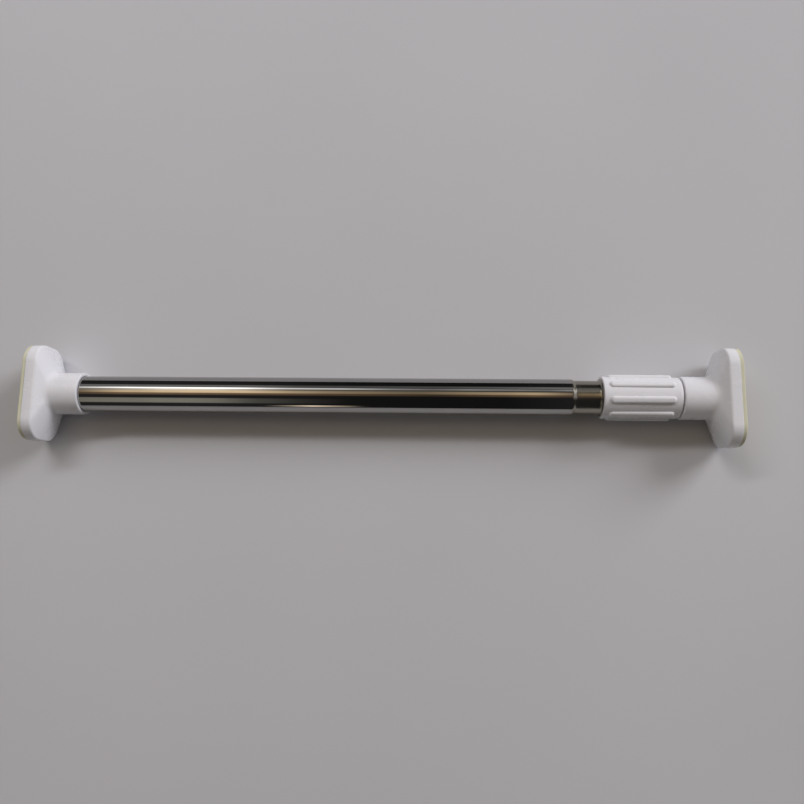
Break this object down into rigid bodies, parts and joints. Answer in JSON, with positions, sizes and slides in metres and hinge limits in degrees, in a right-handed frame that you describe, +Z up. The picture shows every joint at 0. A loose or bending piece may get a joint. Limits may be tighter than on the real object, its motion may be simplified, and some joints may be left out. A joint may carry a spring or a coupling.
{
  "type": "window security bar",
  "caption": "Telescoping stainless window security bar with oblong padded end feet and a ribbed twist grip that jacks one foot outwards.",
  "frame": {"origin": "centre of the fixed foot's pad face, on the axis of the tubes", "axes": "+X along the bar from the fixed foot to the adjustable foot; +Y along the feet's long sides; +Z up with the collapsed bar lying on the long edges of its feet"},
  "size_m": [0.49, 0.0672, 0.0378],
  "materials": {
    "white_abs": "moulded, satin gloss",
    "pad_rubber": "matt, cream",
    "polished_stainless": "mirror polished",
    "inner_stainless": "polished, lightly scuffed",
    "plated_steel": "zinc plated",
    "rivet_aluminium": "plain",
    "spring_steel": "phosphated, dark",
    "natural_nylon": "matt, off-white",
    "cam_nylon": "matt, dark grey",
    "brass": "machined"
  },
  "bodies": {
    "outer_tube": {"outer_tube": "polished_stainless", "fixed_foot": "white_abs", "fixed_foot_pad": "pad_rubber", "fixed_foot_screw": "plated_steel", "tube_end_plug": "natural_nylon"},
    "glide": {"glide_ring": "natural_nylon"},
    "inner_tube": {"inner_tube": "inner_stainless", "lock_plug": "natural_nylon", "lock_plug_rivets": "rivet_aluminium", "cam_washer": "plated_steel", "cam_screw": "plated_steel", "bearing_bush": "natural_nylon", "bush_rivets": "rivet_aluminium", "thrust_washer": "plated_steel", "keeper_washer": "plated_steel", "grip_circlip": "spring_steel"},
    "cam": {"lock_cam": "cam_nylon"},
    "grip": {"grip_sleeve": "white_abs", "jack_nut": "brass", "nut_circlip": "spring_steel"},
    "adjustable_foot": {"adjustable_foot": "white_abs", "adjustable_foot_pad": "pad_rubber", "jack_screw": "plated_steel", "jack_screw_nut": "plated_steel", "jack_stop_washer": "plated_steel", "jack_stop_screw": "plated_steel"}
  },
  "joints": [
    {"name": "telescope", "type": "slide", "parent": "outer_tube", "child": "glide", "axis": [1, 0, 0], "range_m": [0, 0.29]},
    {"name": "lock_twist", "type": "hinge", "parent": "glide", "child": "inner_tube", "pos_m": [0.083, 0, 0], "axis": [1, 0, 0], "range_deg": [-28, 28]},
    {"name": "cam_follow", "type": "hinge", "parent": "inner_tube", "child": "cam", "pos_m": [0.072, 0, 0.0008], "axis": [1, 0, 0], "range_deg": [-28.1, 28.1]},
    {"name": "handle_turn", "type": "hinge", "parent": "inner_tube", "child": "grip", "pos_m": [0.425, 0, 0], "axis": [1, 0, 0], "range_deg": [0, 3600.5]},
    {"name": "foot_jack", "type": "slide", "parent": "inner_tube", "child": "adjustable_foot", "axis": [1, 0, 0], "range_m": [0, 0.03]}
  ],
  "couplings": [
    {"joint": "cam_follow", "follows": "lock_twist", "ratio": -1},
    {"joint": "handle_turn", "follows": "foot_jack", "rad_per_m": 2094.4}
  ]
}
